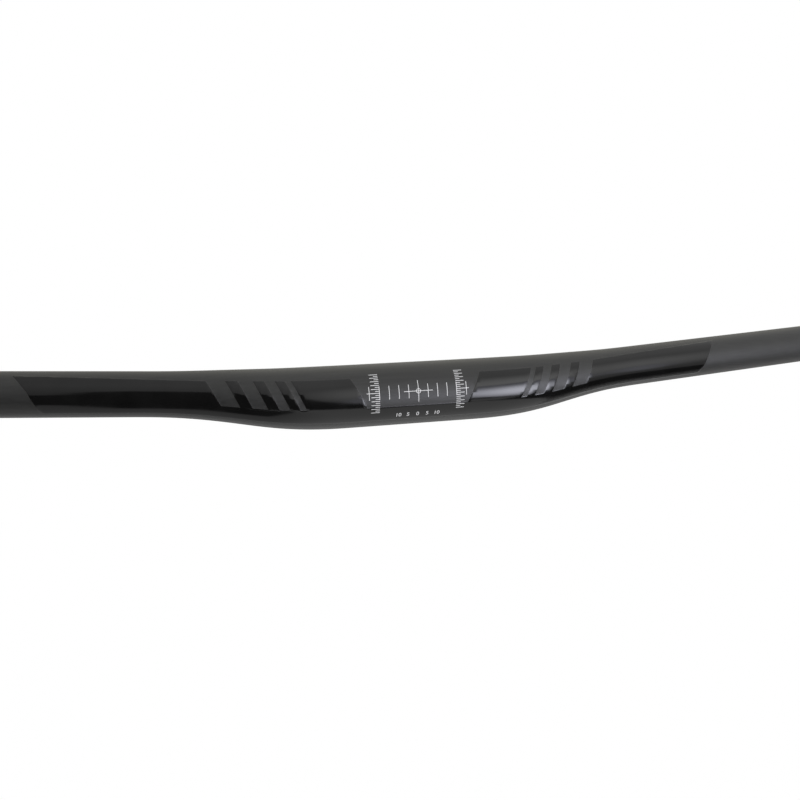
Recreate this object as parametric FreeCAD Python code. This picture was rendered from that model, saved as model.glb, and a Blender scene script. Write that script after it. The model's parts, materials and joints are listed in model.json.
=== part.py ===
import FreeCAD
import Part
import math
import os

# Low-rise mountain bike handlebar, moulded in carbon fibre as one hollow tube.
# A straight run at the middle is gripped by the stem. On each side the tube bends up and back while
# it narrows, and ends in a straight run for the grip and the controls.
# Frame: origin at the middle of the clamp run, +X along the bar to the right as seen from the front
# of the bicycle, +Y back towards the rider, +Z up. Sizes are in millimetres, angles in degrees.

# Overall width, between the middles of the two cut ends
BAR_WIDTH = 740.0

# Clamp run
CLAMP_DIAMETER = 31.8
CLAMP_LENGTH = 64.0
CLAMP_WALL = 2.6

# Grip runs
GRIP_DIAMETER = 22.2
GRIP_WALL = 2.3
BACK_SWEEP = 8.0
UP_SWEEP = 4.0

# Bend and taper: where each grip run starts, counted from the end of the clamp run
BEND_REACH = 105.0
BEND_RISE = 8.3
BEND_SETBACK = 8.6

# How far the bend holds the line of the clamp run, and of the grip run, before it turns away
CLAMP_LEAD = 46.0
GRIP_LEAD = 62.0

# Broken edges of the cut ends
OUTER_CHAMFER = 0.5
BORE_CHAMFER = 0.3

# Round sections that each bend is drawn through
BEND_SECTIONS = 15

ORIGIN = FreeCAD.Vector(0, 0, 0)
X_AXIS = FreeCAD.Vector(1, 0, 0)
Z_AXIS = FreeCAD.Vector(0, 0, 1)


def grip_direction():
    """Unit vector along the right grip run, outwards."""
    back = math.radians(BACK_SWEEP)
    up = math.radians(UP_SWEEP)
    return FreeCAD.Vector(math.cos(up) * math.cos(back), math.cos(up) * math.sin(back), math.sin(up))


def clamp_end():
    """Middle of the tube where the clamp run ends on the right."""
    return X_AXIS * (CLAMP_LENGTH / 2)


def grip_start():
    """Middle of the tube where the right grip run starts."""
    return clamp_end() + FreeCAD.Vector(BEND_REACH, BEND_SETBACK, BEND_RISE)


def grip_length():
    """Length of a grip run, which ends where the bar has its full width."""
    return (BAR_WIDTH / 2 - grip_start().x) / grip_direction().x


def bend_line():
    """Line through the middle of the right bend, tangent to both straight runs."""
    line = Part.BezierCurve()
    line.setPoles([
        clamp_end(),
        clamp_end() + X_AXIS * CLAMP_LEAD,
        grip_start() - grip_direction() * GRIP_LEAD,
        grip_start(),
    ])
    return line


def ease(share):
    """Goes from 0 to 1 with no slope and no curvature at either end."""
    return share ** 3 * (10 - 15 * share + 6 * share ** 2)


def tapered(clamp_size, grip_size, point):
    """Size of the tube at a point of the bend, from its size in the two straight runs."""
    share = (point.x - clamp_end().x) / BEND_REACH
    return clamp_size + (grip_size - clamp_size) * ease(share)


def round_section(middle, direction, radius):
    """Closed round wire across the tube."""
    circle = Part.Wire(Part.makeCircle(radius))
    circle.Placement = FreeCAD.Placement(middle, FreeCAD.Rotation(Z_AXIS, direction))
    return circle


def bend(clamp_radius, grip_radius):
    """Right bend as a solid that narrows from the clamp run to the grip run."""
    line = bend_line()
    sections = []
    for step in range(BEND_SECTIONS):
        place = step / (BEND_SECTIONS - 1)
        middle = line.value(place)
        radius = tapered(clamp_radius, grip_radius, middle)
        sections.append(round_section(middle, line.tangent(place)[0], radius))
    return Part.makeLoft(sections, True)


def full_bar(clamp_radius, grip_radius, overrun):
    """Solid bar from end to end, carried on by the overrun past both cut ends."""
    clamp = Part.makeCylinder(clamp_radius, CLAMP_LENGTH, -clamp_end(), X_AXIS)
    grip = Part.makeCylinder(grip_radius, grip_length() + overrun, grip_start(), grip_direction())
    right = [bend(clamp_radius, grip_radius), grip]
    left = [solid.mirror(ORIGIN, X_AXIS) for solid in right]
    return clamp.fuse(right + left).removeSplitter()


def end_edges(solid, radius):
    """Round edges of that radius at the two cut ends."""
    ends = [grip_start() + grip_direction() * grip_length()]
    ends.append(FreeCAD.Vector(-ends[0].x, ends[0].y, ends[0].z))
    return [
        edge
        for edge in solid.Edges
        if isinstance(edge.Curve, Part.Circle)
        and abs(edge.Curve.Radius - radius) < GRIP_WALL / 10
        and min(edge.Curve.Center.distanceToPoint(end) for end in ends) < GRIP_WALL / 10
    ]


def handlebar():
    """The whole bar: the outer form less its bore, with the edges of both ends broken."""
    clamp_radius = CLAMP_DIAMETER / 2
    grip_radius = GRIP_DIAMETER / 2
    outside = full_bar(clamp_radius, grip_radius, 0.0)
    bore = full_bar(clamp_radius - CLAMP_WALL, grip_radius - GRIP_WALL, GRIP_WALL)
    tube = outside.cut(bore)
    tube = tube.makeChamfer(OUTER_CHAMFER, end_edges(tube, grip_radius))
    return tube.makeChamfer(BORE_CHAMFER, end_edges(tube, grip_radius - GRIP_WALL))


os.makedirs("parts", exist_ok=True)
bar = handlebar()
bar.exportStep("parts/handlebar.step")
print("solids", len(bar.Solids), "valid", bar.isValid(), "volume", round(bar.Volume, 1))
print("grip run", round(grip_length(), 2), "from", grip_start(), "along", grip_direction())
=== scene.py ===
"""Looks of a low-rise carbon handlebar: satin coat, gloss front panel, printed scale and cut ends."""
import functools
import json
import math

import bmesh
import bpy
import numpy as np
from mathutils import Matrix, Vector


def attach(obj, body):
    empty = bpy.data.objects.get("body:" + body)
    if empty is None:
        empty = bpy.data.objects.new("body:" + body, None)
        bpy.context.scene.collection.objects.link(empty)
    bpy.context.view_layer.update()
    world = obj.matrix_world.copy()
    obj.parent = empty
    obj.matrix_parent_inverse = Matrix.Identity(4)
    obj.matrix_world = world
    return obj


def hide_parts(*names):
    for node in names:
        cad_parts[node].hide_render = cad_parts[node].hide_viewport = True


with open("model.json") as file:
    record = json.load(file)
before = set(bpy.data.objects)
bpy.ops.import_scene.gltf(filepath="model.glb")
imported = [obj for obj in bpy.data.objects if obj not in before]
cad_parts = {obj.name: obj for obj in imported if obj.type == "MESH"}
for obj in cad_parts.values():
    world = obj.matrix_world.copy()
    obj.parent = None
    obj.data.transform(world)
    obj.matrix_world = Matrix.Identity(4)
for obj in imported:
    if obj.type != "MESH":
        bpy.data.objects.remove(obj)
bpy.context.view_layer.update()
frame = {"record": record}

# Lengths are in metres, and MM turns a size in millimetres into metres
MM = 0.001

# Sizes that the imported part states
mounts = {mount["name"]: mount for mount in frame["record"]["mounts"]}
CLAMP_RADIUS = mounts["stem_clamp"]["dims"]["r_mm"] * MM
CLAMP_END = mounts["stem_clamp"]["dims"]["length_mm"] * MM / 2
GRIP_RADIUS = mounts["right_grip"]["dims"]["r_mm"] * MM
GRIP_AXIS = Vector(mounts["right_grip"]["axis"])
GRIP_RUN = mounts["right_grip"]["dims"]["length_mm"] * MM
GRIP_START = Vector(mounts["right_grip"]["pos_m"]) - GRIP_AXIS * GRIP_RUN / 2
BORE_RADIUS = mounts["right_end_bore"]["dims"]["r_mm"] * MM

# Sizes of the tube that the mounts leave open
CLAMP_WALL = 2.6 * MM
CLAMP_LEAD = 46 * MM
GRIP_LEAD = 62 * MM
OUTER_CHAMFER = 0.5 * MM
BORE_CHAMFER = 0.3 * MM

# The wall is drawn flat first: along the bar, and around it as arc length at the clamp radius
ROW = 2.5 * MM
COLUMNS = 128
BORE_ROW = 6 * MM

# How near places have to be to count as one, and how many digits of a length count
CUT_SNAP = 0.02 * MM
SEAM_SNAP = 0.0002 * MM
INK_SNAP = 0.01 * MM
STATION_DIGITS = 9

# Where the smooth shading breaks, in degrees, and how many facets round off a broken edge
HARD_EDGE = 25
CHAMFER_FACETS = 2

# Gloss lacquer: how far it stands above the satin coat, and how wide its rounded edge is
LACQUER = 0.06 * MM
LACQUER_EDGE = 0.24 * MM

# Finishes of the tube, by material slot
SATIN, GLOSS, CUT_END, BORE = range(4)

# Map that the finishes are baked through: the outer wall in strips, the bore and the cut ends in bands
MAP_NAME = "OFBake"
MAP_COLUMNS = 2
MAP_ROWS = 3
MAP_MARGIN = 0.016
WALL_BAND = (0.15, 1)
BORE_BAND = (0.055, 0.14)
END_BANDS = ((0.003, 0.021), (0.028, 0.046))

# Gloss panel, in millimetres along the bar and degrees up from the front
PANEL_TOP = 28
PANEL_BOTTOM = -58.5
PANEL_MIDDLE_END = 108
WING_START = 102
WING_TIP = (190, 47)
WING_KNEE = 182.3
WING_TOE = 176.6
WING_OVERLAP = 12

# Satin windows in the panel: the wide one that carries the scale, and the slashes beside it
WINDOW_BOTTOM = -28
WINDOW_OVERRUN = 6
WINDOW_LEAN = 0.137
MIDDLE_WINDOW = 30
SLASHES = ((59, 62), (66.5, 71.5), (76.5, 83.5), (89, 98))

# Printed scale: the film of ink, its turn in degrees, and its lines in millimetres along and around
INK = 0.03 * MM
INK_LINE = 0.27
PRINT_TURN = -2
PRINT_REACH = 14
LINE_STEP = 5
LINE_COUNT = 3
LINE_HALF = 3.4
CROSS_HALF_HEIGHT = 5.45
CROSS_HALF_WIDTH = 7.5
RING_RADIUS = 1.1
RING_STEPS = 8
RULER_AT = 20
RULER_REACH = 10
LONG_TICK = 4.2
SHORT_TICK = 2.1
POINTER_AT = 25.2
POINTER_END = 26.5
NUMBER_COUNT = 2
NUMBER_SIZE = 3.2
NUMBER_AROUND = -12.4

# Camera, as the photograph was taken: place, turn in degrees, and sensor and lens in millimetres
CAMERA_AT = Vector((-116.84, -405.10, -29.95)) * MM
CAMERA_YAW = -15.362
CAMERA_PITCH = 3.605
CAMERA_ROLL = -4.713
SENSOR = 36
LENS = 36.918

# Studio around the bar: a white surround, dark and pale cloths on the camera's side and a soft light. The
# dark cloth and the mats are painted shade, seen in reflections alone
FLOOR_LEVEL = -0.95
FLOOR_HALF = 20
FLOOR_WHITE = 0.82
FLOOR_GLOW = 0.18
CLOTH_STEPS = 60
MATT = 0.9
MAT_LIFT = 0.002

# Dark cloth, painted shade seen in reflections alone: its heights by degrees to the right of the bar's
# front
PAINTED_SHADE_CLOTH_AT = 0.85
PAINTED_SHADE_CLOTH_TURNS = (-100, 118)
PAINTED_SHADE_CLOTH_TOPS = (
    (-100, -0.12), (-35, -0.1), (-31, 0.11), (-28, 0.17), (-24, 0.12), (-8, 0.1),
    (3, -0.28), (12, -0.5), (24, -0.9), (38, -0.9), (48, -0.6), (75, -0.4),
)

# Dark mat on the floor before the bar, painted shade seen in reflections alone: its two long sides, each
# from front to back
PAINTED_SHADE_MAT_LEFT = ((-0.72, -0.7), (-0.42, -0.12))
PAINTED_SHADE_MAT_RIGHT = ((-0.1, -0.7), (-0.25, -0.12))

# Grey mat under the left half of the bar, painted shade of the floor seen in reflections alone: its two
# sides, each from front to back
PAINTED_FLOOR_SHADE_LEFT = ((-1.2, -0.6), (-1.2, 1.4))
PAINTED_FLOOR_SHADE_RIGHT = ((0.05, -0.6), (0.05, 0.7))

# Pale cloth on the camera's side, behind the dark one
PALE_CLOTH_AT = 1.1
PALE_CLOTH_TURNS = (-105, 105)
PALE_CLOTH_TOPS = ((0, 6),)

# Rear cloth behind the bar
REAR_CLOTH_AT = 1.5
REAR_CLOTH_TURNS = (108, 252)
REAR_CLOTH_FOOT = -0.6
REAR_CLOTH_TOPS = ((0, 6),)
REAR_CLOTH_COLOUR = (1, 0.985, 0.9)
REAR_CLOTH_MIDDLE = 0.45

# Soft light, and the glow that it leaves on the pale cloth
SOFT_LIGHT_AT = Vector((0.45, -0.64, -0.27))
SOFT_LIGHT_RADIUS = 0.37
SOFT_LIGHT_SIDES = 48
SOFT_LIGHT_LEVELS = (12.5, 1.5)
SOFT_LIGHT_COLOUR = (0.88, 0.89, 1)
SOFT_LIGHT_FOOT = -0.5
GLOW_AT = Vector((0.58, -0.93, 0))

# Fades, each from one place to another in metres and from one level of grey or light to another
# Painted shade of the dark cloth and mat: darkest before the bar, paler where the cloth reaches round
# behind its sides
PAINTED_SHADE_CLOTH_FADE = (-0.03, 0.42, 0.02, 0.8)
# Painted shade of the floor: the grey mat darker to the left, lighter towards the middle of the bar
PAINTED_FLOOR_SHADE_FADE = (-0.2, 0.05, 0.55, 0.95)
PALE_CLOTH_SIDE_FADE = (-0.75, 0, 0.62, 1)
PALE_CLOTH_END_FADE = (-0.65, -0.3, 1, 0.84)
PALE_CLOTH_HEIGHT_FADE = (-0.7, 0.8, 0.38, 1)
REAR_CLOTH_SIDE_FADE = (0.1, 0.7, 1.25, 0.86)
REAR_CLOTH_END_FADE = (0.95, 1.2, 1, 1.28)
REAR_CLOTH_HEIGHT_FADE = (-0.3, 1.3, 0.4, 1)
GLOW_FADE = (0.15, 0.75, 1.7, 0)


def ease(share):
    """Goes from 0 to 1 with no slope and no curvature at either end."""
    share = min(max(share, 0), 1)
    return share ** 3 * (10 - 15 * share + 6 * share ** 2)


BEND_START = Vector((CLAMP_END, 0, 0))
BEND_HANDLES = (BEND_START + Vector((CLAMP_LEAD, 0, 0)), GRIP_START - GRIP_AXIS * GRIP_LEAD)
BEND_STEPS = 512
BEND_SAMPLES = np.linspace(0, 1, BEND_STEPS + 1)


def bend_point(share):
    """Point on the middle line of the right bend, from 0 at the clamp run to 1 at the grip run."""
    rest = 1 - share
    return (
        BEND_START * rest ** 3
        + BEND_HANDLES[0] * 3 * rest ** 2 * share
        + BEND_HANDLES[1] * 3 * rest * share ** 2
        + GRIP_START * share ** 3
    )


def bend_direction(share):
    """Direction of the right bend's middle line, outwards."""
    rest = 1 - share
    slope = (
        (BEND_HANDLES[0] - BEND_START) * rest ** 2
        + (BEND_HANDLES[1] - BEND_HANDLES[0]) * 2 * rest * share
        + (GRIP_START - BEND_HANDLES[1]) * share ** 2
    )
    return slope.normalized()


bend_points = np.array([bend_point(share) for share in BEND_SAMPLES])
bend_steps = np.linalg.norm(np.diff(bend_points, axis=0), axis=1)
bend_lengths = np.concatenate(([0], np.cumsum(bend_steps)))
GRIP_AT = CLAMP_END + bend_lengths[-1]
HALF_LENGTH = GRIP_AT + GRIP_RUN + OUTER_CHAMFER
HALF_GIRTH = math.pi * CLAMP_RADIUS


@functools.lru_cache(maxsize=None)
def station(along):
    """Middle of the tube at a length along it, with the directions to its front and its top there."""
    reach = abs(along)
    if reach <= CLAMP_END:
        middle = Vector((reach, 0, 0))
        direction = Vector((1, 0, 0))
    elif reach < GRIP_AT:
        share = float(np.interp(reach - CLAMP_END, bend_lengths, BEND_SAMPLES))
        middle = bend_point(share)
        direction = bend_direction(share)
    else:
        middle = GRIP_START + GRIP_AXIS * (reach - GRIP_AT)
        direction = GRIP_AXIS.copy()
    if along < 0:
        middle.x = -middle.x
        direction = Vector((direction.x, -direction.y, -direction.z))
    front = Vector((0, -1, 0))
    front -= direction * front.dot(direction)
    front.normalize()
    return middle, front, front.cross(direction)


def tapered(clamp_size, grip_size, along):
    """Size of the tube at a length along it, from its size in the clamp run and in the grip runs."""
    middle = station(along)[0]
    share = (abs(middle.x) - CLAMP_END) / (GRIP_START.x - CLAMP_END)
    return clamp_size + (grip_size - clamp_size) * ease(share)


def outer_radius(along):
    """Radius of the outer wall."""
    return tapered(CLAMP_RADIUS, GRIP_RADIUS, along)


def bore_radius(along):
    """Radius of the bore."""
    return tapered(CLAMP_RADIUS - CLAMP_WALL, BORE_RADIUS, along)


def wrap(verts, radius_at):
    """Wraps flat places round the middle line. Their height becomes a height above the wall."""
    for vert in verts:
        along, around, height = vert.co
        along = round(along, STATION_DIGITS)
        middle, front, top = station(along)
        angle = around / CLAMP_RADIUS
        outwards = front * math.cos(angle) + top * math.sin(angle)
        vert.co = middle + outwards * (radius_at(along) + height)


LENGTH_STEPS = 1000
LENGTHS = np.linspace(0, HALF_LENGTH, LENGTH_STEPS + 1)
REACHES = np.array([station(along)[0].x for along in LENGTHS])


def unwrapped(place):
    """Length along the bar, turn round it and distance from its middle line of a wrapped place."""
    along = math.copysign(np.interp(abs(place.x), REACHES, LENGTHS), place.x)
    middle, front, top = station(along)
    out = place - middle
    along += out.dot(top.cross(front))
    height, depth = out.dot(top), out.dot(front)
    return along, math.atan2(height, depth), math.hypot(height, depth)


def wall_place(along, degrees):
    """Place on the flat wall, from millimetres along the bar and degrees up from the front."""
    return Vector((along * MM, math.radians(degrees) * CLAMP_RADIUS, 0))


def leaning(along, degrees):
    """Place on a slanted side that crosses the front at that length."""
    return wall_place(along + WINDOW_LEAN * degrees, degrees)


def across(place):
    """The same place on the other half of the bar."""
    return Vector((-place.x, place.y, 0))


class Field:
    """Convex field of the flat wall, with its corners in anticlockwise turn."""

    def __init__(self, *corners):
        self.corners = corners
        self.low = Vector(map(min, zip(*corners)))
        self.high = Vector(map(max, zip(*corners)))
        self.sides = []
        for start, end in zip(corners, corners[1:] + corners[:1]):
            run = (end - start).normalized()
            self.sides.append((start, Vector((-run.y, run.x, 0))))

    def mirrored(self):
        """The same field on the other half of the bar."""
        return Field(*map(across, reversed(self.corners)))

    def depth(self, place):
        """How deep a place lies in the field, below 0 outside it."""
        return min((place - start).dot(inwards) for start, inwards in self.sides)

    def may_hold(self, place, margin):
        """Whether a place lies in the field's box, grown by a margin."""
        in_length = self.low.x - margin <= place.x <= self.high.x + margin
        return in_length and self.low.y - margin <= place.y <= self.high.y + margin

    def cut(self, bm, offsets):
        """Cuts the flat wall along the sides of the field, at each of those offsets into it."""
        for start, inwards in self.sides:
            for offset in offsets:
                faces = [face for face in bm.faces if self.may_hold(face.calc_center_median(), ROW)]
                edges = list(dict.fromkeys(edge for face in faces for edge in face.edges))
                verts = list(dict.fromkeys(vert for face in faces for vert in face.verts))
                bmesh.ops.bisect_plane(
                    bm,
                    geom=verts + edges + faces,
                    dist=CUT_SNAP,
                    plane_co=start + inwards * offset,
                    plane_no=inwards,
                )


def panel_fields():
    """Fields that make up the gloss panel. They overlap, so that no edge shows between them."""
    middle_top = wall_place(PANEL_MIDDLE_END, PANEL_TOP)
    middle_bottom = wall_place(PANEL_MIDDLE_END, PANEL_BOTTOM)
    middle = Field(across(middle_bottom), middle_bottom, middle_top, across(middle_top))
    tip_slope = (WING_TIP[0] - WING_KNEE) / WING_TIP[1]
    toe_slope = (WING_TOE - WING_KNEE) / PANEL_BOTTOM
    upper_wing = Field(
        wall_place(WING_START, -WING_OVERLAP),
        wall_place(WING_KNEE - tip_slope * WING_OVERLAP, -WING_OVERLAP),
        wall_place(*WING_TIP),
        wall_place(WING_START, PANEL_TOP),
    )
    lower_wing = Field(
        wall_place(WING_START, PANEL_BOTTOM),
        wall_place(WING_TOE, PANEL_BOTTOM),
        wall_place(WING_KNEE + toe_slope * WING_OVERLAP, WING_OVERLAP),
        wall_place(WING_START, WING_OVERLAP),
    )
    return [middle, upper_wing, lower_wing, upper_wing.mirrored(), lower_wing.mirrored()]


def window_fields():
    """Fields in the panel that the lacquer leaves satin."""
    above = PANEL_TOP + WINDOW_OVERRUN
    bottom = leaning(MIDDLE_WINDOW, WINDOW_BOTTOM)
    top = leaning(MIDDLE_WINDOW, above)
    fields = [Field(across(bottom), bottom, top, across(top))]
    for near, far in SLASHES:
        slash = Field(
            leaning(near, WINDOW_BOTTOM),
            leaning(far, WINDOW_BOTTOM),
            leaning(far, above),
            leaning(near, above),
        )
        fields += [slash, slash.mirrored()]
    return fields


PANEL = panel_fields()
WINDOWS = window_fields()


def lacquer_depth(place):
    """How deep a place of the flat wall lies in the gloss lacquer, below 0 on the satin coat."""
    in_panel = [field.depth(place) for field in PANEL if field.may_hold(place, ROW)]
    out_of_windows = [-field.depth(place) for field in WINDOWS if field.may_hold(place, ROW)]
    return min(max(in_panel, default=-ROW), *out_of_windows, ROW)


def lacquer_height(place):
    """How far the lacquer stands above the satin coat at a place of the flat wall."""
    return LACQUER * min(max(lacquer_depth(place) / LACQUER_EDGE, 0), 1)


def flat_sheet(bm, half_length, half_width, rows, columns, centre=(0, 0, 0)):
    """Flat sheet of equal cells, and the places it is made of."""
    size = Matrix.Translation(centre) @ Matrix.Diagonal((half_length, half_width, 1, 1))
    return bmesh.ops.create_grid(bm, x_segments=rows, y_segments=columns, size=1, matrix=size)["verts"]


def open_loop(verts, along):
    """Edges of a wrapped wall's rim at one end of the bar."""
    end = station(along)[0]
    direction = station(along)[1].cross(station(along)[2])
    rim = {vert for vert in verts if abs((vert.co - end).dot(direction)) < CUT_SNAP}
    loop = dict.fromkeys(edge for vert in verts if vert in rim for edge in vert.link_edges)
    return [edge for edge in loop if edge.is_boundary and all(vert in rim for vert in edge.verts)]


def share_of(value, ends):
    """Where a value lies between two ends, from 0 to 1."""
    return (value - ends[0]) / (ends[1] - ends[0])


def in_cell(share, ends):
    """Place on the map at a share of a cell, which keeps a margin."""
    share = MAP_MARGIN + share * (1 - 2 * MAP_MARGIN)
    return ends[0] + share * (ends[1] - ends[0])


def part_of(count, counts, ends):
    """Ends of one of the equal parts between two ends."""
    step = (ends[1] - ends[0]) / counts
    return ends[0] + count * step, ends[0] + (count + 1) * step


def map_cell(material, along):
    """Ends of a face's cell across and up the map, and the lengths of bar that the cell holds."""
    across_map = (0, 1)
    lengths = (-HALF_LENGTH, HALF_LENGTH)
    if material == CUT_END:
        return across_map, END_BANDS[along > 0], lengths
    if material == BORE:
        return across_map, BORE_BAND, lengths
    strips = MAP_COLUMNS * MAP_ROWS
    strip = min(int(share_of(along, lengths) * strips), strips - 1)
    row, column = divmod(strip, MAP_COLUMNS)
    up_map = part_of(row, MAP_ROWS, WALL_BAND)
    return part_of(column, MAP_COLUMNS, across_map), up_map, part_of(strip, strips, lengths)


def lay_out_map(bm):
    """Lays the finished wall out flat on the map that its finishes are baked through."""
    layer = bm.loops.layers.uv.new(MAP_NAME)
    places = {vert: unwrapped(vert.co) for vert in bm.verts}
    for face in bm.faces:
        middle_along, middle_turn, _ = unwrapped(face.calc_center_median())
        across_map, up_map, lengths = map_cell(face.material_index, middle_along)
        for loop in face.loops:
            along, turn, radius = places[loop.vert]
            turn = middle_turn + math.remainder(turn - middle_turn, math.tau)
            around = share_of(turn, (-math.pi, math.pi))
            shares = (share_of(along, lengths), around)
            if face.material_index == CUT_END:
                shares = (around, share_of(radius, (BORE_RADIUS, GRIP_RADIUS)))
            loop[layer].uv = (in_cell(shares[0], across_map), in_cell(shares[1], up_map))


def finished(bm, name, materials):
    """Object made of a finished bmesh, smooth but for its hard edges."""
    mesh = bpy.data.meshes.new(name)
    bm.to_mesh(mesh)
    bm.free()
    for material in materials:
        mesh.materials.append(material)
    mesh.shade_smooth()
    mesh.set_sharp_from_angle(angle=math.radians(HARD_EDGE))
    piece = bpy.data.objects.new(name, mesh)
    bpy.context.scene.collection.objects.link(piece)
    return piece


def outer_wall(bm):
    """Outside of the tube, cut along the lacquer's fields and raised where the lacquer lies."""
    flat_sheet(bm, HALF_LENGTH, HALF_GIRTH, round(2 * HALF_LENGTH / ROW), COLUMNS)
    for field in PANEL:
        field.cut(bm, (0, LACQUER_EDGE))
    for field in WINDOWS:
        field.cut(bm, (0, -LACQUER_EDGE))
    for face in bm.faces:
        face.material_index = GLOSS if lacquer_depth(face.calc_center_median()) > 0 else SATIN
    for vert in bm.verts:
        vert.co.z = lacquer_height(vert.co)
    wrap(list(bm.verts), outer_radius)


def bore_wall(bm):
    """Wall of the bore, which faces the middle line."""
    verts = flat_sheet(bm, HALF_LENGTH, HALF_GIRTH, round(2 * HALF_LENGTH / BORE_ROW), COLUMNS)
    faces = list(dict.fromkeys(face for vert in verts for face in vert.link_faces))
    for face in faces:
        face.material_index = BORE
    bmesh.ops.reverse_faces(bm, faces=faces)
    wrap(verts, bore_radius)


def cut_end(bm, along):
    """Closes the wall at one end of the bar with a flat cut, and breaks the edges of the cut."""
    rims = open_loop(bm.verts, along)
    middle = station(along)[0]
    split = (GRIP_RADIUS + BORE_RADIUS) / 2
    outer_rim = [edge for edge in rims if (edge.verts[0].co - middle).length > split]
    bore_rim = [edge for edge in rims if (edge.verts[0].co - middle).length < split]
    for face in bmesh.ops.bridge_loops(bm, edges=rims)["faces"]:
        face.material_index = CUT_END
    for rim, chamfer in ((outer_rim, OUTER_CHAMFER), (bore_rim, BORE_CHAMFER)):
        bmesh.ops.bevel(
            bm,
            geom=rim,
            offset=chamfer,
            segments=CHAMFER_FACETS,
            profile=0.5,
            affect="EDGES",
            material=-1,
        )


def handlebar(materials):
    """The whole tube: outer wall with its lacquer fields, bore, and cut ends with broken edges."""
    bm = bmesh.new()
    outer_wall(bm)
    bore_wall(bm)
    bmesh.ops.remove_doubles(bm, verts=bm.verts, dist=SEAM_SNAP)
    for along in (-HALF_LENGTH, HALF_LENGTH):
        cut_end(bm, along)
    bmesh.ops.recalc_face_normals(bm, faces=bm.faces)
    lay_out_map(bm)
    return finished(bm, "handlebar_tube", materials)


def ink_strip(bm, along, around):
    """Flat strip of ink between two lengths along the bar and two around it, in millimetres."""
    size = (abs(along[1] - along[0]) * MM / 2, abs(around[1] - around[0]) * MM / 2)
    centre = (sum(along) * MM / 2, sum(around) * MM / 2, 0)
    flat_sheet(bm, *size, 1, 1, centre)


def ink_line_along(bm, start, end, around):
    """Line of ink along the bar."""
    ink_strip(bm, (start, end), (around - INK_LINE / 2, around + INK_LINE / 2))


def ink_line_around(bm, along, low, high):
    """Line of ink around the bar."""
    ink_strip(bm, (along - INK_LINE / 2, along + INK_LINE / 2), (low, high))


def ink_cross(bm):
    """Cross in the middle of the scale, with the lines beside it and the ring round its middle."""
    half = INK_LINE / 2
    ink_line_around(bm, 0, -CROSS_HALF_HEIGHT, CROSS_HALF_HEIGHT)
    for side in (-1, 1):
        ink_line_along(bm, side * half, side * (LINE_STEP - half), 0)
        ink_line_along(bm, side * (LINE_STEP + half), side * CROSS_HALF_WIDTH, 0)
        for count in range(1, LINE_COUNT + 1):
            ink_line_around(bm, side * LINE_STEP * count, -LINE_HALF, LINE_HALF)
    gap = math.asin(half / (RING_RADIUS - half))
    for quarter in range(4):
        start = quarter * math.pi / 2 + gap
        turn = Matrix.Rotation(start, 4, "Z")
        ends = [turn @ Vector(((RING_RADIUS + side * half) * MM, 0, 0)) for side in (-1, 1)]
        edge = bm.edges.new([bm.verts.new(end) for end in ends])
        bmesh.ops.spin(
            bm,
            geom=[edge, *edge.verts],
            cent=(0, 0, 0),
            axis=(0, 0, 1),
            angle=math.pi / 2 - 2 * gap,
            steps=RING_STEPS,
            use_merge=False,
        )


def ink_ruler(bm, side):
    """Column of ticks a millimetre apart round the bar, with a pointer at its middle."""
    half = INK_LINE / 2
    base = side * RULER_AT
    ink_line_around(bm, base, -LINE_HALF, LINE_HALF)
    for around in range(-RULER_REACH, RULER_REACH + 1):
        length = SHORT_TICK if around % 2 else LONG_TICK
        start = base + side * (half if abs(around) < LINE_HALF else -half)
        if around:
            ink_line_along(bm, start, base + side * length, around)
    pointer = side * POINTER_AT
    ink_line_along(bm, base + side * half, pointer - side * half, 0)
    ink_line_along(bm, pointer + side * half, side * POINTER_END, 0)
    ink_line_around(bm, pointer, -LINE_HALF, LINE_HALF)


def ink_number(bm, number, along):
    """Plain number under a line of the scale."""
    curve = bpy.data.curves.new("number", "FONT")
    curve.body = str(number)
    curve.size = NUMBER_SIZE * MM
    curve.align_x = "CENTER"
    curve.align_y = "CENTER"
    text = bpy.data.objects.new("number", curve)
    mesh = bpy.data.meshes.new_from_object(text)
    mesh.uv_layers.remove(mesh.uv_layers.active)
    mesh.transform(Matrix.Translation((along * MM, NUMBER_AROUND * MM, 0)))
    bm.from_mesh(mesh)
    bpy.data.objects.remove(text)
    bpy.data.curves.remove(curve)
    bpy.data.meshes.remove(mesh)


def printed_scale(material):
    """Set-up scale for the stem, printed on the clamp run as a thin film of ink."""
    bm = bmesh.new()
    ink_cross(bm)
    for side in (-1, 1):
        ink_ruler(bm, side)
    for count in range(-NUMBER_COUNT, NUMBER_COUNT + 1):
        ink_number(bm, abs(count) * LINE_STEP, count * LINE_STEP)
    # Cuts through all the ink at the edges of each tick, so that lines that meet share their corners
    for row in range(-PRINT_REACH, PRINT_REACH + 1):
        for half in (-INK_LINE / 2, INK_LINE / 2):
            bmesh.ops.bisect_plane(
                bm,
                geom=list(bm.verts) + list(bm.edges) + list(bm.faces),
                dist=INK_SNAP,
                plane_co=(0, (row + half) * MM, 0),
                plane_no=(0, 1, 0),
            )
    bmesh.ops.remove_doubles(bm, verts=bm.verts, dist=INK_SNAP)
    bmesh.ops.recalc_face_normals(bm, faces=bm.faces)
    for vert in bm.verts:
        vert.co.y += math.radians(PRINT_TURN) * CLAMP_RADIUS
    top = bmesh.ops.extrude_face_region(bm, geom=list(bm.faces))["geom"]
    tops = {element for element in top if isinstance(element, bmesh.types.BMVert)}
    for vert in bm.verts:
        vert.co.z = lacquer_height(vert.co) + (INK if vert in tops else -INK)
    wrap(bm.verts, outer_radius)
    bmesh.ops.recalc_face_normals(bm, faces=bm.faces)
    return finished(bm, "printed_scale", [material])


# Middle part of a noise, which holds most of its values
NOISE_MIDDLE = (0.3, 0.7)


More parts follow.
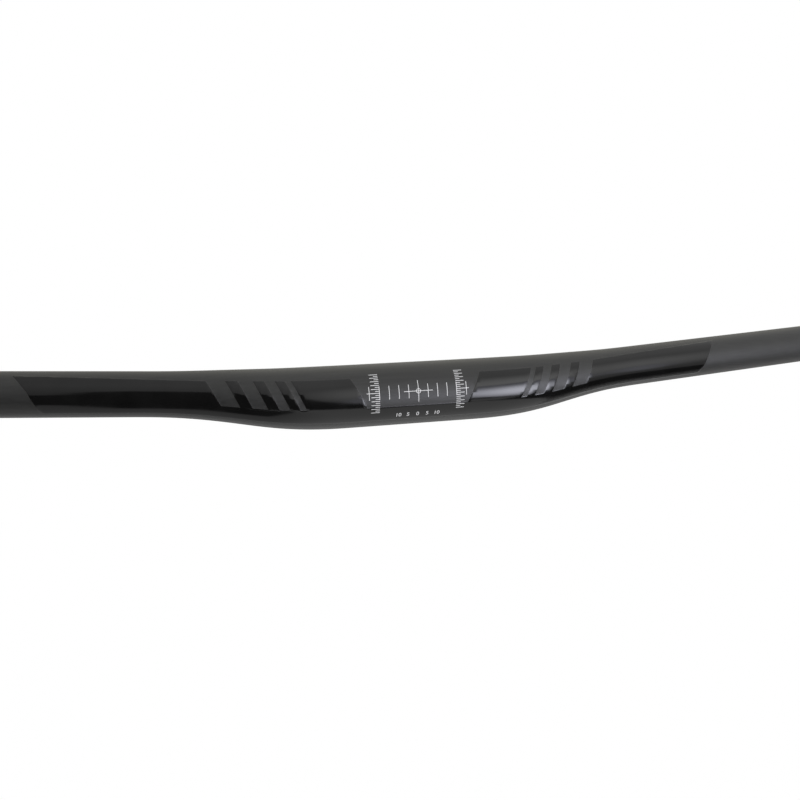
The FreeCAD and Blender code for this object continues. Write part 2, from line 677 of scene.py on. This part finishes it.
class Nodes:
    """Node tree of one material, with short ways to add and link nodes."""

    def __init__(self, name):
        self.material = bpy.data.materials.new(name)
        self.material.use_nodes = True
        self.tree = self.material.node_tree
        self.tree.nodes.clear()

    def add(self, kind, inputs, **settings):
        """Adds a node, with each input given as a value or as the output that feeds it."""
        node = self.tree.nodes.new(kind)
        for name, value in settings.items():
            setattr(node, name, value)
        for name, value in inputs.items():
            if isinstance(value, bpy.types.NodeSocket):
                self.tree.links.new(value, node.inputs[name])
            else:
                node.inputs[name].default_value = value
        return node

    def stretched(self, stretch):
        """Object coordinates, stretched along the three axes."""
        place = self.add("ShaderNodeTexCoord", {}).outputs["Object"]
        return self.add("ShaderNodeMapping", {"Vector": place, "Scale": stretch}).outputs["Vector"]

    def noise(self, scale, detail, stretch=(1, 1, 1)):
        """Noise on Object coordinates, with its scale per metre."""
        inputs = {"Vector": self.stretched(stretch), "Scale": scale, "Detail": detail}
        return self.add("ShaderNodeTexNoise", inputs).outputs["Fac"]

    def ramp(self, value, start, end, low, high, shape="LINEAR"):
        """Value that goes from low to high while another goes from start to end."""
        inputs = {"Value": value, "From Min": start, "From Max": end, "To Min": low, "To Max": high}
        return self.add("ShaderNodeMapRange", inputs, interpolation_type=shape).outputs["Result"]

    def between(self, factor, low, high):
        """Value that runs from low to high with the middle part of a noise."""
        return self.ramp(factor, *NOISE_MIDDLE, low, high)

    def colours(self, factor, low, high):
        """Colour that runs from low to high with the middle part of a noise."""
        ramp = self.add("ShaderNodeValToRGB", {"Fac": factor})
        for element, place, colour in zip(ramp.color_ramp.elements, NOISE_MIDDLE, (low, high)):
            element.position = place
            element.color = (*colour, 1)
        return ramp.outputs["Color"]

    def bump(self, height, strength, distance):
        """Normal roughened by a height, whose full range is that distance."""
        inputs = {"Height": height, "Strength": strength, "Distance": distance}
        return self.add("ShaderNodeBump", inputs).outputs["Normal"]

    def maths(self, operation, first, second):
        """Result of an operation on two values, or on the first alone."""
        return self.add("ShaderNodeMath", {0: first, 1: second}, operation=operation).outputs["Value"]

    def close(self, shader):
        """Ends the material with a shader."""
        self.add("ShaderNodeOutputMaterial", {"Surface": shader})
        return self.material

    def surface(self, inputs):
        """Ends the material with a Principled surface."""
        return self.close(self.add("ShaderNodeBsdfPrincipled", inputs).outputs["BSDF"])

    def glow(self, colour, strength):
        """Ends the material with an even light of its own."""
        inputs = {"Color": (*colour, 1), "Strength": strength}
        return self.close(self.add("ShaderNodeEmission", inputs).outputs["Emission"])


def satin_coat():
    """Satin clear coat over dark fibre: fine grain, and faint streaks along the bar."""
    nodes = Nodes("satin_coat")
    streaks = nodes.noise(scale=1, detail=3, stretch=(30, 700, 700))
    grain = nodes.noise(scale=2600, detail=2)
    return nodes.surface({
        "Base Color": nodes.colours(streaks, (0.0135, 0.0135, 0.0128), (0.0195, 0.0195, 0.0185)),
        "Roughness": nodes.between(grain, 0.46, 0.52),
        "Normal": nodes.bump(grain, strength=0.15, distance=0.02 * MM),
    })


def gloss_lacquer():
    """Black lacquer with the faint waves of a sprayed coat."""
    nodes = Nodes("gloss_lacquer")
    peel = nodes.noise(scale=420, detail=2)
    haze = nodes.noise(scale=90, detail=3)
    return nodes.surface({
        "Base Color": nodes.colours(haze, (0.004, 0.004, 0.004), (0.006, 0.006, 0.006)),
        "Roughness": nodes.between(haze, 0.10, 0.14),
        "Specular IOR Level": 0.4,
        "Normal": nodes.bump(peel, strength=0.1, distance=0.01 * MM),
    })


def white_ink():
    """Screen-printed white ink, a little uneven."""
    nodes = Nodes("white_ink")
    cover = nodes.noise(scale=3000, detail=2)
    return nodes.surface({
        "Base Color": nodes.colours(cover, (0.76, 0.76, 0.78), (0.88, 0.88, 0.90)),
        "Roughness": nodes.between(cover, 0.45, 0.6),
    })


def cut_carbon():
    """Sawn end of the tube, with the plies showing as rings."""
    nodes = Nodes("cut_carbon")
    place = nodes.add("ShaderNodeTexCoord", {}).outputs["Object"]
    folded = nodes.add("ShaderNodeVectorMath", {0: place}, operation="ABSOLUTE").outputs["Vector"]
    turn = GRIP_AXIS.to_track_quat("X", "Z").to_euler()
    inputs = {"Vector": folded, "Location": GRIP_START, "Rotation": turn}
    straight = nodes.add("ShaderNodeMapping", inputs, vector_type="TEXTURE").outputs["Vector"]
    square = nodes.add("ShaderNodeVectorMath", {0: straight, 1: (0, 1, 1)}, operation="MULTIPLY")
    radius = nodes.add("ShaderNodeVectorMath", {0: square.outputs["Vector"]}, operation="LENGTH")
    plies = nodes.add(
        "ShaderNodeTexNoise",
        {"W": radius.outputs["Value"], "Scale": 5200, "Detail": 1},
        noise_dimensions="1D",
    ).outputs["Fac"]
    fibres = nodes.noise(scale=7000, detail=2)
    return nodes.surface({
        "Base Color": nodes.colours(plies, (0.012, 0.012, 0.012), (0.055, 0.055, 0.056)),
        "Roughness": nodes.between(fibres, 0.5, 0.75),
        "Normal": nodes.bump(fibres, strength=0.4, distance=0.03 * MM),
    })


def bore_finish():
    """Bare resin of the bore, faintly wrinkled by the bladder it was moulded on, and darker than the coat:
    black resin and painted shade of the hollow.
    """
    nodes = Nodes("bore_finish")
    wrinkles = nodes.noise(scale=1, detail=2, stretch=(12, 220, 220))
    return nodes.surface({
        # Partly the black resin's own colour, partly painted shade of the hollow
        "Base Color": nodes.colours(wrinkles, (0.006, 0.006, 0.006), (0.014, 0.014, 0.014)),
        "Roughness": nodes.between(wrinkles, 0.45, 0.6),
        "Normal": nodes.bump(wrinkles, strength=0.3, distance=0.1 * MM),
    })


def add_camera():
    """Camera at the photograph's viewing angle."""
    lens = bpy.data.cameras.new("camera")
    lens.sensor_width = SENSOR
    lens.lens = LENS
    camera = bpy.data.objects.new("camera", lens)
    turn = Matrix.Rotation(math.radians(CAMERA_YAW), 4, "Z")
    turn @= Matrix.Rotation(math.radians(90 + CAMERA_PITCH), 4, "X")
    turn @= Matrix.Rotation(math.radians(CAMERA_ROLL), 4, "Z")
    camera.matrix_world = Matrix.Translation(CAMERA_AT) @ turn
    bpy.context.scene.collection.objects.link(camera)
    bpy.context.scene.camera = camera


def floor_finish():
    """Pale floor that reads white to the eye and in reflections, and still takes a shadow."""
    nodes = Nodes("pale_floor")
    path = nodes.add("ShaderNodeLightPath", {}).outputs
    seen = nodes.maths("ADD", path["Is Camera Ray"], path["Is Glossy Ray"])
    seen = nodes.maths("ADD", seen, path["Is Transmission Ray"])
    return nodes.surface({
        "Base Color": (FLOOR_WHITE, FLOOR_WHITE, FLOOR_WHITE, 1),
        "Roughness": MATT,
        "Specular IOR Level": 0,
        "Emission Color": (1, 1, 1, 1),
        "Emission Strength": nodes.maths("MULTIPLY", seen, FLOOR_GLOW),
    })


def faded_cloth_finish(name, axis, fade):
    """Matt cloth of painted shade that goes from one grey to another along an axis."""
    nodes = Nodes(name)
    place = nodes.add("ShaderNodeTexCoord", {}).outputs["Object"]
    run = nodes.add("ShaderNodeSeparateXYZ", {"Vector": place}).outputs[axis]
    return nodes.surface({
        "Base Color": nodes.ramp(run, *fade),
        "Roughness": MATT,
        "Specular IOR Level": 0,
    })


def pale_cloth_finish():
    """Lit white cloth, dimmer to the left, at its ends and low down, brighter near the soft light."""
    nodes = Nodes("pale_cloth")
    place = nodes.add("ShaderNodeTexCoord", {}).outputs["Object"]
    parts = nodes.add("ShaderNodeSeparateXYZ", {"Vector": place}).outputs
    sides = nodes.ramp(parts["X"], *PALE_CLOTH_SIDE_FADE)
    ends = nodes.ramp(parts["Y"], *PALE_CLOTH_END_FADE)
    heights = nodes.ramp(parts["Z"], *PALE_CLOTH_HEIGHT_FADE)
    level = nodes.maths("MULTIPLY", nodes.maths("MULTIPLY", sides, ends), heights)
    away = nodes.add("ShaderNodeVectorMath", {0: place, 1: GLOW_AT}, operation="DISTANCE").outputs["Value"]
    glow = nodes.ramp(away, *GLOW_FADE, "SMOOTHSTEP")
    return nodes.glow((1, 1, 1), nodes.maths("ADD", level, glow))


def rear_cloth_finish():
    """Lit warm cloth, brightest high up, a little to the right of the bar and at its right end."""
    nodes = Nodes("rear_cloth")
    place = nodes.add("ShaderNodeTexCoord", {}).outputs["Object"]
    parts = nodes.add("ShaderNodeSeparateXYZ", {"Vector": place}).outputs
    away = nodes.maths("ABSOLUTE", nodes.maths("SUBTRACT", parts["X"], REAR_CLOTH_MIDDLE), 0)
    fall = nodes.ramp(away, *REAR_CLOTH_SIDE_FADE, "SMOOTHSTEP")
    end = nodes.ramp(parts["X"], *REAR_CLOTH_END_FADE)
    heights = nodes.ramp(parts["Z"], *REAR_CLOTH_HEIGHT_FADE)
    level = nodes.maths("MULTIPLY", nodes.maths("MULTIPLY", fall, end), heights)
    return nodes.glow(REAR_CLOTH_COLOUR, level)


def soft_light_finish():
    """Diffuser of the soft light, brightest at its middle."""
    nodes = Nodes("soft_light")
    place = nodes.add("ShaderNodeTexCoord", {}).outputs["Object"]
    away = nodes.add("ShaderNodeVectorMath", {0: place, 1: SOFT_LIGHT_AT}, operation="DISTANCE")
    fade = (0, SOFT_LIGHT_RADIUS, *SOFT_LIGHT_LEVELS)
    return nodes.glow(SOFT_LIGHT_COLOUR, nodes.ramp(away.outputs["Value"], *fade, "SMOOTHERSTEP"))


def shown_in_gloss(panel):
    """Marks a studio panel that shows in reflections alone, and shades nothing."""
    panel.visible_camera = False
    panel.visible_diffuse = False
    panel.visible_shadow = False


def by_turn(table, turn):
    """Value at a turn, between the ones that a table gives."""
    return float(np.interp(turn, *zip(*table)))


def hung_cloth(name, radius, turns, foot, tops, material):
    """Cloth hung in an arc round the bar, from its foot up to a height for each turn."""
    bm = bmesh.new()
    first, last = turns
    for vert in flat_sheet(bm, (last - first) / 2, 1, CLOTH_STEPS, 1, ((first + last) / 2, 0, 0)):
        turn, row, _ = vert.co
        height = by_turn(tops, turn) if row > 0 else foot
        vert.co = Matrix.Rotation(math.radians(turn), 3, "Z") @ Vector((0, -radius, height))
    shown_in_gloss(finished(bm, name, [material]))


def laid_mat(name, left, right, lift, material):
    """Mat of painted shade that lies a little above the floor between two sides, each given from front to
    back.
    """
    bm = bmesh.new()
    for vert in flat_sheet(bm, 1, 1, 1, 1):
        side = left if vert.co.x < 0 else right
        vert.co = (*side[vert.co.y > 0], FLOOR_LEVEL + lift)
    shown_in_gloss(finished(bm, name, [material]))


def add_floor():
    """Pale floor."""
    bm = bmesh.new()
    flat_sheet(bm, FLOOR_HALF, FLOOR_HALF, 1, 1, (0, 0, FLOOR_LEVEL))
    finished(bm, "floor", [floor_finish()])


def add_cloths():
    """Cloths and mats round the bar: the dark cloth and the mats are painted shade, the pale and rear
    cloths lit.
    """
    # Painted shade before the bar: a hung cloth and a mat on the floor
    dark = faded_cloth_finish("painted_shade_cloth", "Y", PAINTED_SHADE_CLOTH_FADE)
    hung_cloth("painted_shade_cloth", PAINTED_SHADE_CLOTH_AT, PAINTED_SHADE_CLOTH_TURNS, FLOOR_LEVEL, PAINTED_SHADE_CLOTH_TOPS, dark)
    laid_mat("painted_shade_mat", PAINTED_SHADE_MAT_LEFT, PAINTED_SHADE_MAT_RIGHT, 2 * MAT_LIFT, dark)
    # Painted shade of the floor under the left half of the bar
    grey = faded_cloth_finish("painted_floor_shade", "X", PAINTED_FLOOR_SHADE_FADE)
    laid_mat("painted_floor_shade", PAINTED_FLOOR_SHADE_LEFT, PAINTED_FLOOR_SHADE_RIGHT, MAT_LIFT, grey)
    pale = pale_cloth_finish()
    hung_cloth("pale_cloth", PALE_CLOTH_AT, PALE_CLOTH_TURNS, FLOOR_LEVEL, PALE_CLOTH_TOPS, pale)
    rear = rear_cloth_finish()
    hung_cloth("rear_cloth", REAR_CLOTH_AT, REAR_CLOTH_TURNS, REAR_CLOTH_FOOT, REAR_CLOTH_TOPS, rear)


def add_soft_light():
    """Round soft light turned to the bar, cut off flat at its foot."""
    bm = bmesh.new()
    facing = Matrix.Translation(SOFT_LIGHT_AT) @ SOFT_LIGHT_AT.to_track_quat("Z", "Y").to_matrix().to_4x4()
    bmesh.ops.create_circle(
        bm, cap_ends=True, segments=SOFT_LIGHT_SIDES, radius=SOFT_LIGHT_RADIUS, matrix=facing
    )
    bmesh.ops.bisect_plane(
        bm,
        geom=list(bm.verts) + list(bm.edges) + list(bm.faces),
        plane_co=(0, 0, SOFT_LIGHT_FOOT),
        plane_no=(0, 0, -1),
        clear_outer=True,
    )
    shown_in_gloss(finished(bm, "soft_light", [soft_light_finish()]))


def add_surround():
    """Even white light from all round."""
    world = bpy.data.worlds.new("white_surround")
    world.use_nodes = True
    world.node_tree.nodes["Background"].inputs["Color"].default_value = (1, 1, 1, 1)
    bpy.context.scene.world = world


tube = handlebar([satin_coat(), gloss_lacquer(), cut_carbon(), bore_finish()])
scale = printed_scale(white_ink())
for piece in (tube, scale):
    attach(piece, "root")
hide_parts("handlebar")

add_camera()
add_floor()
add_cloths()
add_soft_light()
add_surround()
bpy.context.scene.view_settings.view_transform = "Standard"
